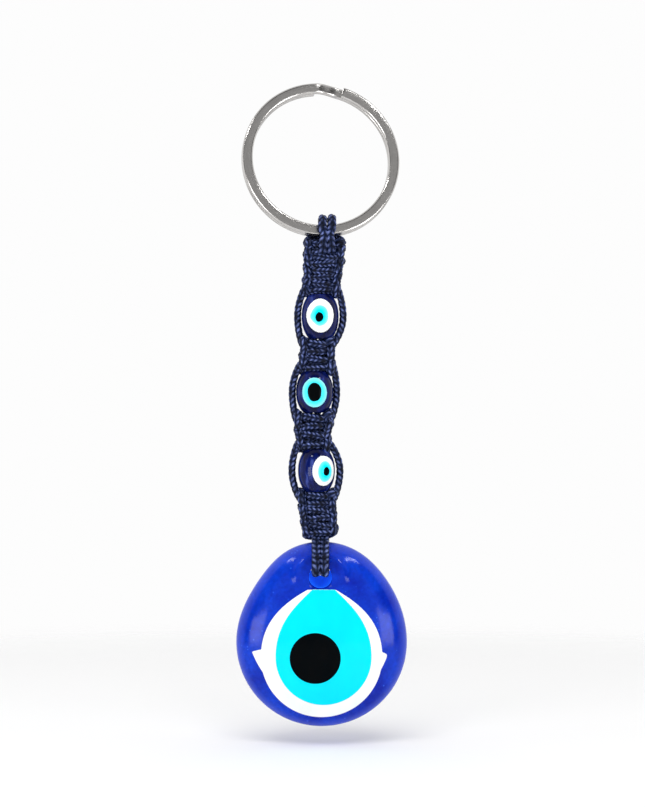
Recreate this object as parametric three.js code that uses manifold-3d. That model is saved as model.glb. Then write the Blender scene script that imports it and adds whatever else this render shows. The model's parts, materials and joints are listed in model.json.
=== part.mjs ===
// Evil eye key charm: a split ring, a knotted strap with three glass beads, and a glass eye pendant.
// Millimetres, +Z up, front faces -Y. The charm hangs from the ring's inner top, at the origin.
import * as THREE from "three";
import { mergeVertices } from "three/addons/utils/BufferGeometryUtils.js";
import Module from "manifold-3d";

const wasm = await Module();
wasm.setup();

const DEGREE = Math.PI / 180;

// Split ring: two turns of flat wire, pressed together, with one step from the front turn to the rear one.
const RING_OUTER_DIAMETER = 30;
const WIRE_WIDTH = 2;
const WIRE_THICKNESS = 1.2;
const WIRE_CORNER = 0.4;
const TURN_SPACING = 1.3;
const RING_TILT = 12 * DEGREE;
const RING_YAW = 8 * DEGREE;
// Places on the wire, in degrees clockwise from the top, seen from the front.
const FRONT_END = 18.6;
const STEP_START = 357;
const STEP_END = 376;
const REAR_END = 714;
const RING_STEPS = 84;

// Cords.
const LOOP_CORD_RADIUS = 0.8;
const CORE_CORD_RADIUS = 0.62;
const SIDE_CORD_RADIUS = 0.6;
const CORD_SIDES = 8;
const CORE_SPACING = 1.4;
const SIDE_CORD_TAPER = 0.15;
const SIDE_CORD_INSET = 0.4;
const CORD_GAP = 0.3;

// The wire loops stand this far from the wire's centre, and their legs end this far below it.
const RING_LOOP_RADIUS = 2.35;
const RING_LOOP_LEG = 3.1;
const RING_LOOP_PLACES = [0.7, 2.5];

// Square knots: how deep they are, and the slot that the two core cords fill.
const KNOT_DEPTH = 4.2;
const TOP_KNOT_DEPTH = 2.2;
const KNOT_BEVEL = 0.4;
const CORE_SLOT_LENGTH = 3.2;
const CORE_SLOT_WIDTH = 1.5;

// Each section of the strap: its knots from top to bottom (x of the middle, width), and the heights it fills.
const SECTIONS = [
  {
    top: -27.8,
    bottom: -38.1,
    knots: [
      [1.1, 7.8],
      [1.0, 7.8],
      [0.8, 7.5],
      [0.5, 7.2],
    ],
  },
  {
    top: -46.8,
    bottom: -52.7,
    knots: [
      [-0.25, 6.7],
      [-0.35, 7.1],
    ],
  },
  {
    top: -60.6,
    bottom: -67.3,
    knots: [
      [-1.0, 7.5],
      [-1.0, 6.7],
    ],
  },
  {
    top: -75.5,
    bottom: -83.7,
    knots: [
      [-0.3, 7.4],
      [-0.1, 7.2],
      [0.2, 6.9],
    ],
  },
];

// Beads: x of the middle, height, turn about the cord, where the side cords pass, and the eye's layers.
// Each layer is [name, width, height, x and z of its middle, depth].
const BEAD_WIDTH = 7;
const BEAD_BORE_RADIUS = 1.85;
const INLAY_GAP = 0.1;
const INLAY_FLOOR = 2.05;
const BEADS = [
  {
    x: 0.3,
    height: 8.6,
    turn: 0,
    sides: [-4.25, 4.3],
    behind: [0, 0],
    layers: [
      ["white", 5.3, 6.6, 0, 0.1, 1.1],
      ["turquoise", 3.5, 4.1, -0.1, 0.1, 0.8],
      ["pupil", 1.7, 2.1, -0.15, -0.2, 0.5],
    ],
  },
  {
    x: -0.75,
    height: 8,
    turn: 0,
    sides: [-4.2, 4.15],
    behind: [0, 0.9],
    layers: [
      ["turquoise", 4.8, 5.8, 0, -0.1, 0.8],
      ["pupil", 2.8, 4, 0, 0, 0.5],
    ],
  },
  {
    x: -0.4,
    height: 8.2,
    turn: 28 * DEGREE,
    sides: [-4.6, 4.4],
    behind: [0, 0],
    layers: [
      ["white", 4.7, 5.9, 0, 0, 1.1],
      ["turquoise", 3.3, 4.2, 0.1, -0.1, 0.8],
      ["pupil", 1.5, 1.9, 0.3, -0.1, 0.5],
    ],
  },
];

// Glass eye pendant: half sizes about the widest line, and how far the front and back stand from the rim.
const PENDANT_X = 0.57;
const PENDANT_Z = -103.7;
const PENDANT_HALF_WIDTH = 16.1;
const PENDANT_ABOVE = 18.9;
const PENDANT_BELOW = 15.9;
const PENDANT_PINCH_LEFT = 0.07;
const PENDANT_PINCH_RIGHT = 0.03;
const PENDANT_FRONT = 5.2;
const PENDANT_BACK = 2.8;
const PENDANT_FRONT_ROUNDNESS = 2.3;
const PENDANT_BACK_FLAT = 0.86;
// The glass is set back, so that its weight hangs under the cords.
const PENDANT_SET_BACK = 0.85;
const PENDANT_SEGMENTS = 32;

// The hole slants upwards to the back.
const HOLE_RADIUS = 2.1;
const HOLE_X = 0.35;
const HOLE_HEIGHT = 12.5;
const HOLE_SLANT = 16 * DEGREE;

// The eye's drops: middle x, radius of the round part, where its centre is, half width at the top.
const DROP_TOP = 10.15;
const DROP_CENTRE = -2.5;
const WHITE_DROP = { x: 0, radius: 11.35, top: 2.6, shoulder: [4.15, 7.2, 7.55], floor: -2.0 };
const TURQUOISE_DROP = { x: 0.37, radius: 8.95, top: 2.1, shoulder: [3.95, 5.2, 7.15], floor: -2.6 };
const PUPIL = { x: -1.19, z: -2.65, radius: 4.75, floor: -3.2 };

const COLOURS = {
  steel: [0.6, 0.59, 0.57],
  cord: [0.12, 0.16, 0.32],
  glass: [0.02, 0.1, 0.75],
  beadGlass: [0.04, 0.07, 0.4],
  white: [0.95, 0.97, 0.95],
  turquoise: [0, 0.9, 1],
  pupil: [0.02, 0.03, 0.05],
};

const charm = new THREE.Group();

function material(colour, roughness, metalness) {
  return new THREE.MeshStandardMaterial({ color: new THREE.Color(...colour), roughness, metalness });
}

const steel = () => material(COLOURS.steel, 0.35, 1);
const cord = () => material(COLOURS.cord, 0.85, 0);
const glass = (colour) => material(colour, 0.08, 0);

function addMesh(parent, name, geometry, surface) {
  const mesh = new THREE.Mesh(geometry, surface);
  mesh.name = name;
  parent.add(mesh);
}

function solidOf(geometry) {
  const bare = geometry.clone();
  bare.deleteAttribute("normal");
  bare.deleteAttribute("uv");
  const merged = mergeVertices(bare, 1e-4);
  return new wasm.Manifold(
    new wasm.Mesh({
      numProp: 3,
      vertProperties: new Float32Array(merged.attributes.position.array),
      triVerts: new Uint32Array(merged.index.array),
    }),
  );
}

function geometryOf(solid) {
  const mesh = solid.getMesh();
  const geometry = new THREE.BufferGeometry();
  geometry.setAttribute("position", new THREE.BufferAttribute(mesh.vertProperties, 3));
  geometry.setIndex(new THREE.BufferAttribute(mesh.triVerts, 1));
  geometry.computeVertexNormals();
  return geometry;
}

// ---- Split ring ----

const ringRadius = (RING_OUTER_DIAMETER - WIRE_WIDTH) / 2;
const ringCentreZ = -(RING_OUTER_DIAMETER / 2 - WIRE_WIDTH);

class SplitRingPath extends THREE.Curve {
  getPoint(t, target = new THREE.Vector3()) {
    const place = FRONT_END + t * (REAR_END - FRONT_END);
    const step = THREE.MathUtils.smoothstep(place, STEP_START, STEP_END);
    const angle = place * DEGREE;
    return target.set(
      ringRadius * Math.sin(angle),
      (step - 0.5) * TURN_SPACING,
      ringCentreZ + ringRadius * Math.cos(angle),
    );
  }
}

// The wire's section: x runs through the ring's thickness, y along its radius.
function wireSection() {
  const x = WIRE_THICKNESS / 2 - WIRE_CORNER;
  const y = WIRE_WIDTH / 2 - WIRE_CORNER;
  const section = new THREE.Shape();
  section.absarc(x, y, WIRE_CORNER, 0, Math.PI / 2);
  section.absarc(-x, y, WIRE_CORNER, Math.PI / 2, Math.PI);
  section.absarc(-x, -y, WIRE_CORNER, Math.PI, 1.5 * Math.PI);
  section.absarc(x, -y, WIRE_CORNER, 1.5 * Math.PI, 2 * Math.PI);
  return section;
}

const ring = new THREE.Group();
ring.rotation.set(-RING_TILT, 0, RING_YAW, "ZXY");
ring.updateMatrix();
charm.add(ring);

const ringPath = new SplitRingPath();
ringPath.arcLengthDivisions = 4 * RING_STEPS;
const ringWire = new THREE.ExtrudeGeometry(wireSection(), {
  steps: RING_STEPS,
  extrudePath: ringPath,
  bevelEnabled: false,
  curveSegments: 1,
});
addMesh(ring, "split_ring", ringWire, steel());

// Middle of the wire at the ring's lowest place: the strap hangs plumb from here.
const wireBottom = new THREE.Vector3(0, 0, ringCentreZ - ringRadius).applyMatrix4(ring.matrix);

const strap = new THREE.Group();
strap.position.y = wireBottom.y;
charm.add(strap);

// ---- Cords ----

function cordAlong(points, radius, steps) {
  const section = new THREE.Shape();
  section.absarc(0, 0, radius, 0, 2 * Math.PI);
  return new THREE.ExtrudeGeometry(section, {
    steps,
    extrudePath: new THREE.CatmullRomCurve3(points),
    bevelEnabled: false,
    curveSegments: CORD_SIDES / 2,
  });
}

// An upside-down U over the wire, with a straight leg in front and one behind.
function ringLoop(x) {
  const along = x - wireBottom.x;
  const y = along * Math.tan(RING_YAW);
  const rise = ringRadius - Math.sqrt(ringRadius ** 2 - along ** 2);
  const z = wireBottom.z + rise;
  const points = [new THREE.Vector3(x, y - RING_LOOP_RADIUS, z - RING_LOOP_LEG)];
  points.push(new THREE.Vector3(x, y - RING_LOOP_RADIUS, z - RING_LOOP_LEG / 2));
  for (let degrees = 180; degrees >= 0; degrees -= 30) {
    const angle = degrees * DEGREE;
    const across = y + RING_LOOP_RADIUS * Math.cos(angle);
    points.push(new THREE.Vector3(x, across, z + RING_LOOP_RADIUS * Math.sin(angle)));
  }
  points.push(new THREE.Vector3(x, y + RING_LOOP_RADIUS, z - RING_LOOP_LEG / 2));
  points.push(new THREE.Vector3(x, y + RING_LOOP_RADIUS, z - RING_LOOP_LEG));
  return cordAlong(points, LOOP_CORD_RADIUS, 20);
}

["left", "right"].forEach((side, i) => {
  addMesh(strap, `ring_loop_${side}`, ringLoop(RING_LOOP_PLACES[i]), cord());
});

// ---- Square knots ----

function stadium(length, width) {
  const r = width / 2;
  const x = length / 2 - r;
  const outline = new THREE.Shape();
  outline.absarc(x, 0, r, -Math.PI / 2, Math.PI / 2);
  outline.absarc(-x, 0, r, Math.PI / 2, 1.5 * Math.PI);
  return outline;
}

function knot(width, depth, height) {
  const block = new THREE.ExtrudeGeometry(stadium(width, depth), {
    depth: height - 2 * KNOT_BEVEL,
    bevelSize: KNOT_BEVEL,
    bevelOffset: -KNOT_BEVEL,
    bevelThickness: KNOT_BEVEL,
    bevelSegments: 1,
    curveSegments: 3,
  });
  block.translate(0, 0, KNOT_BEVEL);
  const slot = new THREE.ExtrudeGeometry(stadium(CORE_SLOT_LENGTH, CORE_SLOT_WIDTH), {
    depth: height + 2,
    bevelEnabled: false,
    curveSegments: 3,
  });
  slot.translate(0, 0, -1);
  return geometryOf(solidOf(block).subtract(solidOf(slot)));
}

const knots = SECTIONS.flatMap((section) => {
  const pitch = (section.top - section.bottom + CORD_GAP) / section.knots.length;
  return section.knots.map(([x, width], i) => {
    const height = pitch - CORD_GAP;
    return { x, width, height, z: section.top - i * pitch - height };
  });
});

knots.forEach(({ x, z, width, height }, i) => {
  const place = new THREE.Group();
  place.position.set(x, 0, z);
  strap.add(place);
  const name = `knot_${String(i + 1).padStart(2, "0")}`;
  addMesh(place, name, knot(width, i === 0 ? TOP_KNOT_DEPTH : KNOT_DEPTH, height), cord());
});

// ---- Core cords: a pair through each section's knots and on through the bead below ----

SECTIONS.forEach((section, i) => {
  const next = SECTIONS[i + 1];
  const first = section.knots[0][0];
  const last = section.knots.at(-1)[0];
  const lowest = next ? next.top + CORD_GAP / 2 : section.bottom;
  ["left", "right"].forEach((side, s) => {
    const shift = (s - 0.5) * CORE_SPACING;
    const points = [
      new THREE.Vector3(first + shift, 0, section.top),
      new THREE.Vector3(last + shift, 0, section.bottom + 1),
    ];
    if (next) {
      const beadZ = (section.bottom + next.top) / 2;
      points.push(new THREE.Vector3(BEADS[i].x + shift, 0, beadZ));
      points.push(new THREE.Vector3(next.knots[0][0] + shift, 0, lowest));
    } else {
      points.push(new THREE.Vector3(last + shift, 0, lowest));
    }
    addMesh(strap, `core_cord_${side}_${i + 1}`, cordAlong(points, CORE_CORD_RADIUS, 7), cord());
  });
});

// ---- Side cords: they leave the knots above a bead, pass round it and enter the knots below ----

BEADS.forEach((bead, i) => {
  const above = SECTIONS[i];
  const below = SECTIONS[i + 1];
  const [aboveX, aboveWidth] = above.knots.at(-1);
  const [belowX, belowWidth] = below.knots[0];
  const middle = (above.bottom + below.top) / 2;
  const high = above.bottom - CORD_GAP;
  const low = below.top + CORD_GAP;
  const reach = (high - low) / 4;
  ["left", "right"].forEach((side, s) => {
    const way = 2 * s - 1;
    const out = bead.x + bead.sides[s];
    const y = bead.behind[s];
    const points = [
      new THREE.Vector3(aboveX + way * (aboveWidth / 2 - SIDE_CORD_INSET), 0, high),
      new THREE.Vector3(out - way * SIDE_CORD_TAPER, y * 0.7, middle + reach),
      new THREE.Vector3(out, y, middle),
      new THREE.Vector3(out - way * SIDE_CORD_TAPER, y * 0.7, middle - reach),
      new THREE.Vector3(belowX + way * (belowWidth / 2 - SIDE_CORD_INSET), 0, low),
    ];
    addMesh(strap, `side_cord_${side}_${i + 1}`, cordAlong(points, SIDE_CORD_RADIUS, 10), cord());
  });
});

// ---- Beads ----

// An ellipsoid about the cord, with the bore through it. shrink moves its surface inwards.
function ellipsoid(halfWidth, halfHeight, shrink) {
  const ball = new THREE.SphereGeometry(1, 18, 10);
  ball.rotateX(Math.PI / 2);
  ball.scale(halfWidth - shrink, halfWidth - shrink, halfHeight - shrink);
  return solidOf(ball);
}

// An oval column that stands out of the bead on one side: way is -1 at the front and 1 at the back.
function column(halfWidth, halfHeight, x, z, way, floor, grow) {
  const length = BEAD_WIDTH;
  const rod = new THREE.CylinderGeometry(1, 1, length, 14);
  rod.scale(halfWidth + grow, 1, halfHeight + grow);
  rod.translate(x, way * (floor - grow + length / 2), z);
  return solidOf(rod);
}

function addBead(bead, i) {
  const name = `bead_${i + 1}`;
  const place = new THREE.Group();
  place.position.set(bead.x, 0, (SECTIONS[i].bottom + SECTIONS[i + 1].top) / 2);
  place.rotation.z = bead.turn;
  strap.add(place);
  const halfWidth = BEAD_WIDTH / 2;
  const halfHeight = bead.height / 2;
  const bore = new THREE.CylinderGeometry(BEAD_BORE_RADIUS, BEAD_BORE_RADIUS, 2 * bead.height, 14);
  bore.rotateX(Math.PI / 2);
  const outside = ellipsoid(halfWidth, halfHeight, 0);
  let body = outside.subtract(solidOf(bore));
  for (const [face, way] of [["front", -1], ["back", 1]]) {
    const plates = bead.layers.map(([colour, width, height, x, z, depth]) => {
      const turned = -way * x;
      const floor = INLAY_FLOOR + bead.layers[0].at(-1) - depth;
      const fill = column(width / 2, height / 2, turned, z, way, floor, 0);
      const room = column(width / 2, height / 2, turned, z, way, floor, INLAY_GAP);
      return {
        colour,
        plate: outside.intersect(fill).subtract(ellipsoid(halfWidth, halfHeight, depth)),
        pocket: room.subtract(ellipsoid(halfWidth, halfHeight, depth + INLAY_GAP)),
      };
    });
    body = body.subtract(plates[0].pocket);
    plates.forEach(({ colour, plate }, n) => {
      const inner = plates[n + 1];
      const solid = inner ? plate.subtract(inner.pocket) : plate;
      addMesh(place, `${name}_${face}_${colour}`, geometryOf(solid), glass(COLOURS[colour]));
    });
  }
  addMesh(place, `${name}_glass`, geometryOf(body), glass(COLOURS.beadGlass));
}

BEADS.forEach(addBead);

// ---- Pendant ----

const pendant = new THREE.Group();
pendant.position.set(PENDANT_X, PENDANT_SET_BACK, PENDANT_Z);
strap.add(pendant);

// Half of the lens's section, from the front's middle round the rim to the flat back's middle.
function lensProfile() {
  const profile = [];
  const power = 2 / PENDANT_FRONT_ROUNDNESS;
  for (let degrees = 90; degrees > 0; degrees -= 15) {
    const angle = degrees * DEGREE;
    const radius = degrees === 90 ? 0 : Math.cos(angle) ** power;
    profile.push([radius, -PENDANT_FRONT * Math.sin(angle) ** power]);
  }
  for (let degrees = 0; degrees <= 90; degrees += 22.5) {
    const angle = degrees * DEGREE;
    const radius = PENDANT_BACK_FLAT + (1 - PENDANT_BACK_FLAT) * Math.cos(angle);
    profile.push([radius, PENDANT_BACK * Math.sin(angle)]);
  }
  profile.push([0, PENDANT_BACK]);
  return profile.map(([radius, y]) => new THREE.Vector2(radius * PENDANT_HALF_WIDTH, y));
}

// The lens is turned round, then drawn out upwards into a drop.
function lens() {
  const turned = new THREE.LatheGeometry(lensProfile(), PENDANT_SEGMENTS);
  const place = turned.attributes.position;
  for (let i = 0; i < place.count; i++) {
    const up = place.getZ(i) / PENDANT_HALF_WIDTH;
    const narrowing = place.getX(i) < 0 ? PENDANT_PINCH_LEFT : PENDANT_PINCH_RIGHT;
    const pinch = up > 0 ? 1 - narrowing * Math.sin(Math.PI * up ** 2) : 1;
    place.setX(i, place.getX(i) * pinch);
    place.setZ(i, up * (up > 0 ? PENDANT_ABOVE : PENDANT_BELOW));
  }
  return solidOf(turned);
}

// A drop outline with round shoulders and a flat top, drawn out forwards from a floor.
function dropColumn(drop, grow) {
  const radius = drop.radius + grow;
  const half = drop.top + grow;
  const [firstZ, secondX, secondZ] = drop.shoulder;
  const top = DROP_TOP + grow;
  const outline = new THREE.Shape();
  outline.moveTo(-half, top);
  outline.bezierCurveTo(-secondX - grow, secondZ, -radius, firstZ, -radius, DROP_CENTRE);
  outline.absarc(0, DROP_CENTRE, radius, Math.PI, 2 * Math.PI);
  outline.bezierCurveTo(radius, firstZ, secondX + grow, secondZ, half, top);
  const block = new THREE.ExtrudeGeometry(outline, { depth: 12, bevelEnabled: false, curveSegments: 7 });
  block.rotateX(Math.PI / 2);
  block.translate(drop.x, drop.floor + grow, 0);
  return solidOf(block);
}

function pupilColumn(grow) {
  const rod = new THREE.CylinderGeometry(PUPIL.radius + grow, PUPIL.radius + grow, 12, 24);
  rod.translate(PUPIL.x, PUPIL.floor + grow - 6, PUPIL.z);
  return solidOf(rod);
}

// The hole's axis passes through its middle at the glass's front.
const holeFrontY = -4.15;
function holeRod() {
  const rod = new THREE.CylinderGeometry(HOLE_RADIUS, HOLE_RADIUS, 30, 20);
  rod.rotateX(HOLE_SLANT);
  rod.translate(HOLE_X - PENDANT_X, holeFrontY, HOLE_HEIGHT);
  return solidOf(rod);
}

const whole = lens();
const bodyOfGlass = whole.subtract(holeRod()).subtract(dropColumn(WHITE_DROP, INLAY_GAP));
const whiteDrop = whole.intersect(dropColumn(WHITE_DROP, 0)).subtract(dropColumn(TURQUOISE_DROP, INLAY_GAP));
const turquoiseDrop = whole.intersect(dropColumn(TURQUOISE_DROP, 0)).subtract(pupilColumn(INLAY_GAP));
addMesh(pendant, "pendant_glass", geometryOf(bodyOfGlass), glass(COLOURS.glass));
addMesh(pendant, "pendant_white", geometryOf(whiteDrop), glass(COLOURS.white));
addMesh(pendant, "pendant_turquoise", geometryOf(turquoiseDrop), glass(COLOURS.turquoise));
addMesh(pendant, "pendant_pupil", geometryOf(whole.intersect(pupilColumn(0))), glass(COLOURS.pupil));

// ---- Pendant loops: from the last knot down the front, through the hole and up the back ----

// Places in the pendant's own height, with y from the strap's middle.
const PENDANT_LOOP = [
  [-1.05, 19.4],
  [-1.35, 18.95],
  [-2.45, 18.1],
  [-3.55, 16.4],
  [-4.35, 15.0],
  [-4.65, 13.95],
  [-3.9, 13.3],
  [-2.6, 13.55],
  [0, 14.3],
  [2.6, 15.05],
  [4.1, 15.5],
  [4.9, 16.3],
  [4.75, 17.5],
  [4.1, 18.7],
  [3.1, 19.3],
  [2.6, 19.4],
];

["left", "right"].forEach((side, s) => {
  const x = HOLE_X + (s - 0.5) * 1.74;
  const points = PENDANT_LOOP.map(([y, height]) => new THREE.Vector3(x, y, PENDANT_Z + height));
  addMesh(strap, `pendant_loop_${side}`, cordAlong(points, LOOP_CORD_RADIUS, 26), cord());
});

export default charm;
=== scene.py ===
"""Looks of the evil eye key charm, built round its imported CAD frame. Sizes are in millimetres."""

import json
import math
from functools import partial

import bmesh
import bpy
import numpy as np
from mathutils import Matrix, Vector


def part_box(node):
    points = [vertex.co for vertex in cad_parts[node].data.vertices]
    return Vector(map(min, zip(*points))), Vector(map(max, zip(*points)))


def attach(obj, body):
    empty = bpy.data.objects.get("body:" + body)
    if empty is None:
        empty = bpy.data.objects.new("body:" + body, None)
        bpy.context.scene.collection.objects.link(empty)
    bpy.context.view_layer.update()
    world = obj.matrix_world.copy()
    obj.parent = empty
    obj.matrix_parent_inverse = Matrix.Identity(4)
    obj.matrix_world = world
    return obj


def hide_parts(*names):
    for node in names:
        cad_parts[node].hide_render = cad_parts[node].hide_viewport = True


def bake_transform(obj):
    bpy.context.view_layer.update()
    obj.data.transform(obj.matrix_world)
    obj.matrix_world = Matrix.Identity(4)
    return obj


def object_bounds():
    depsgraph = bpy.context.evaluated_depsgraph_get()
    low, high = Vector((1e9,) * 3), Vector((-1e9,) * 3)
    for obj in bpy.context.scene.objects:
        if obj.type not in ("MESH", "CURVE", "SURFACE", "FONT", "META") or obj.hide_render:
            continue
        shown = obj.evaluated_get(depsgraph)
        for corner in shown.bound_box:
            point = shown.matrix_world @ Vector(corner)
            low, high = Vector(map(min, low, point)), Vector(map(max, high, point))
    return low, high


MM = 0.001
DEGREE = math.pi / 180

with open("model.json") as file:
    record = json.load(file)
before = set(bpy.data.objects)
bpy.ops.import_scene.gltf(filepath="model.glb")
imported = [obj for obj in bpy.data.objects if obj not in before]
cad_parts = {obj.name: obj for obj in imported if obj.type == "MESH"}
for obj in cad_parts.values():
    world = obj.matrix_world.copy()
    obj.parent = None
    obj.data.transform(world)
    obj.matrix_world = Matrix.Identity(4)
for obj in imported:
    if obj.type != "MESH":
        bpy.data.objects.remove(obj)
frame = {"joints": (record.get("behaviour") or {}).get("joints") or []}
cad_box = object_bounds()
joints = {joint["name"]: joint for joint in frame["joints"]}


def joint_place(name):
    """Where a joint is, in millimetres."""
    return np.array(joints[name]["pos_m"]) / MM


def node_box(name):
    """Lowest and highest corner of a CAD node, in millimetres."""
    low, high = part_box(name)
    return np.array(low) / MM, np.array(high) / MM


def angles_round(count):
    """Evenly spaced angles round a circle, in radians."""
    return np.arange(count) / count * 2 * math.pi


def add_object(name, data):
    """A new object, linked to the scene."""
    added = bpy.data.objects.new(name, data)
    bpy.context.scene.collection.objects.link(added)
    return added


def set_attribute(mesh, name, values):
    data = mesh.attributes.new(name, "FLOAT", "POINT").data
    data.foreach_set("value", np.asarray(values, np.float32))


# ---- Camera ----

VIEW_HEIGHT = 152.5
VIEW_DISTANCE = 450
OBJECT_PLANE_Y = -3.7
VIEW_CENTRE = (0.74, -58.8)
SENSOR = 36


def add_camera():
    """A long lens straight in front, level with the charm's middle."""
    data = bpy.data.cameras.new("camera")
    data.sensor_width = SENSOR
    data.lens = SENSOR * VIEW_DISTANCE / VIEW_HEIGHT
    data.clip_start = 0.01
    data.clip_end = 30
    camera = add_object("camera", data)
    x, z = VIEW_CENTRE
    camera.location = Vector((x, OBJECT_PLANE_Y - VIEW_DISTANCE, z)) * MM
    camera.rotation_euler = (math.pi / 2, 0, 0)
    bpy.context.scene.camera = camera


# ---- Material helpers ----


def new_material(name, **inputs):
    """A material with its Principled shader's inputs set: returns it with its tree and shader."""
    material = bpy.data.materials.new(name)
    material.use_nodes = True
    tree = material.node_tree
    shader = tree.nodes["Principled BSDF"]
    for key, value in inputs.items():
        shader.inputs[key.replace("_", " ")].default_value = value
    return material, tree, shader


def add_node(tree, kind, inputs=None, **settings):
    """A new shader node: its inputs are linked to sockets or set to values."""
    node = tree.nodes.new("ShaderNode" + kind)
    for key, value in settings.items():
        setattr(node, key, value)
    for key, value in (inputs or {}).items():
        if isinstance(value, bpy.types.NodeSocket):
            tree.links.new(value, node.inputs[key])
        else:
            node.inputs[key].default_value = value
    return node


def ramp(tree, value, stops):
    """A colour ramp over a value: stops are (position, colour)."""
    node = add_node(tree, "ValToRGB", {"Fac": value})
    elements = node.color_ramp.elements
    for n, (position, colour) in enumerate(stops):
        element = elements[n] if n < 2 else elements.new(position)
        element.position = position
        element.color = (*colour, 1)
    return node.outputs["Color"]


def grey(value):
    return (value, value, value)


def grey_ramp(tree, value, stops):
    """A ramp of greys over a value: stops are (position, brightness)."""
    return ramp(tree, value, [(position, grey(brightness)) for position, brightness in stops])


def mixed(tree, share, first, second, blend="MIX"):
    """Two colours mixed by a share, or blended in another way."""
    node = add_node(tree, "Mix", {0: share}, data_type="RGBA", blend_type=blend)
    for socket, value in ((node.inputs[6], first), (node.inputs[7], second)):
        if isinstance(value, bpy.types.NodeSocket):
            tree.links.new(value, socket)
        else:
            socket.default_value = (*value, 1)
    return node.outputs[2]


def multiplied(tree, first, second):
    return mixed(tree, 1.0, first, second, "MULTIPLY")


def noise(tree, place, scale, detail=3.0, roughness=0.5):
    inputs = {"Vector": place, "Scale": scale, "Detail": detail, "Roughness": roughness}
    return add_node(tree, "TexNoise", inputs).outputs["Fac"]


def stretched(tree, place, scale):
    return add_node(tree, "Mapping", {"Vector": place, "Scale": scale}).outputs["Vector"]


def add_bump(tree, shader, height, strength, distance):
    inputs = {"Height": height, "Strength": strength, "Distance": distance * MM}
    bump = add_node(tree, "Bump", inputs)
    tree.links.new(bump.outputs["Normal"], shader.inputs["Normal"])


def coordinates(tree, kind):
    return add_node(tree, "TexCoord").outputs[kind]


def attribute(tree, name):
    return add_node(tree, "Attribute", attribute_name=name).outputs["Fac"]


# ---- Materials ----


def steel_material():
    """Nickel-plated steel with a fine satin grain along the wire."""
    material, tree, shader = new_material("nickel_plate", Metallic=1.0, Roughness=0.3)
    place = coordinates(tree, "UV")
    grain = noise(tree, stretched(tree, place, (0.4, 22, 1)), 1.0, 4.0, 0.6)
    stains = noise(tree, stretched(tree, place, (0.35, 0.5, 1)), 1.0)
    colour = ramp(tree, grain, [(0.3, (0.5, 0.485, 0.47)), (0.7, (0.68, 0.66, 0.645))])
    mottled = grey_ramp(tree, stains, [(0.35, 0.93), (0.65, 1.0)])
    tree.links.new(multiplied(tree, colour, mottled), shader.inputs["Base Color"])
    rough = grey_ramp(tree, grain, [(0.3, 0.13), (0.7, 0.24)])
    tree.links.new(rough, shader.inputs["Roughness"])
    add_bump(tree, shader, grain, 0.35, 0.03)
    return material


# Painted shade and highlight: from the near-black shade painted in the grooves between strands to
# the lit lavender painted on their crowns.
CORD_PAINTED_SHADING = [
    (0.0, (0.0006, 0.0012, 0.005)),
    (0.45, (0.002, 0.005, 0.024)),
    (0.78, (0.018, 0.03, 0.09)),
    (1.0, (0.12, 0.15, 0.34)),
]


def cord_material():
    """Braided navy satin cord, with painted shade between its strands and a painted lavender
    highlight on their crowns, over a faint lavender sheen.
    """
    material, tree, shader = new_material(
        "braided_cord",
        Roughness=0.46,
        Specular_IOR_Level=0.1,
        Sheen_Weight=0.03,
        Sheen_Roughness=0.4,
        Sheen_Tint=(0.45, 0.5, 0.95, 1),
    )
    place = coordinates(tree, "UV")
    # The braid height paints shade into the grooves and highlights onto the crowns; random patches
    # then mottle it.
    painted_shading = ramp(tree, attribute(tree, "crown"), CORD_PAINTED_SHADING)
    patches = noise(tree, stretched(tree, place, (1.1, 6, 1)), 1.0, 2.0)
    spread = grey_ramp(tree, patches, [(0.36, 0.16), (0.7, 1.8)])
    mottled = multiplied(tree, painted_shading, spread)
    filaments = noise(tree, stretched(tree, place, (5, 60, 1)), 1.0, 2.0, 0.6)
    streaks = grey_ramp(tree, filaments, [(0.35, 0.65), (0.65, 1.25)])
    tree.links.new(multiplied(tree, mottled, streaks), shader.inputs["Base Color"])
    rough = grey_ramp(tree, patches, [(0.3, 0.55), (0.7, 0.36)])
    tree.links.new(rough, shader.inputs["Roughness"])
    add_bump(tree, shader, filaments, 0.5, 0.03)
    return material


def glass_base(name, roughness, gloss):
    """Glass with its texture coordinates. gloss is the specular level."""
    material, tree, shader = new_material(
        name, Roughness=roughness, IOR=1.5, Specular_IOR_Level=gloss
    )
    return material, tree, shader, coordinates(tree, "Object")


def add_waves(tree, shader, place, scale, strength, depth):
    """Shallow waves in the glass's surface."""
    add_bump(tree, shader, noise(tree, place, scale, 2.0), strength, depth)


def cobalt_material():
    """Fused cobalt glass: cloudy depth, seeds of air, and a paler rim that is a painted reflection.
    """
    material, tree, shader, place = glass_base("cobalt_glass", 0.13, 0.17)
    clouds = noise(tree, place, 160.0, 4.0, 0.55)
    body = ramp(tree, clouds, [(0.34, (0.002, 0.016, 0.36)), (0.66, (0.004, 0.045, 0.56))])
    grainy = grey_ramp(tree, noise(tree, place, 1500.0, 2.0), [(0.3, 0.88), (0.7, 1.12)])
    body = multiplied(tree, body, grainy)
    cells = add_node(tree, "TexVoronoi", {"Vector": place, "Scale": 900.0})
    dots = grey_ramp(tree, cells.outputs["Distance"], [(0.1, 1.0), (0.17, 0.0)])
    some = grey_ramp(tree, noise(tree, place, 330.0, 1.0), [(0.5, 0.0), (0.6, 0.55)])
    body = mixed(tree, multiplied(tree, dots, some), body, (0.03, 0.14, 0.8))
    # Painted reflection: the rim is painted a paler blue, standing in for the bright surroundings
    # mirrored at the glass's edge.
    edge = grey_ramp(tree, attribute(tree, "rim"), [(0.0, 0.0), (1.0, 0.75)])
    body = mixed(tree, edge, body, (0.07, 0.11, 0.6))
    tree.links.new(body, shader.inputs["Base Color"])
    add_waves(tree, shader, place, 260.0, 0.12, 0.25)
    return material


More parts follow.
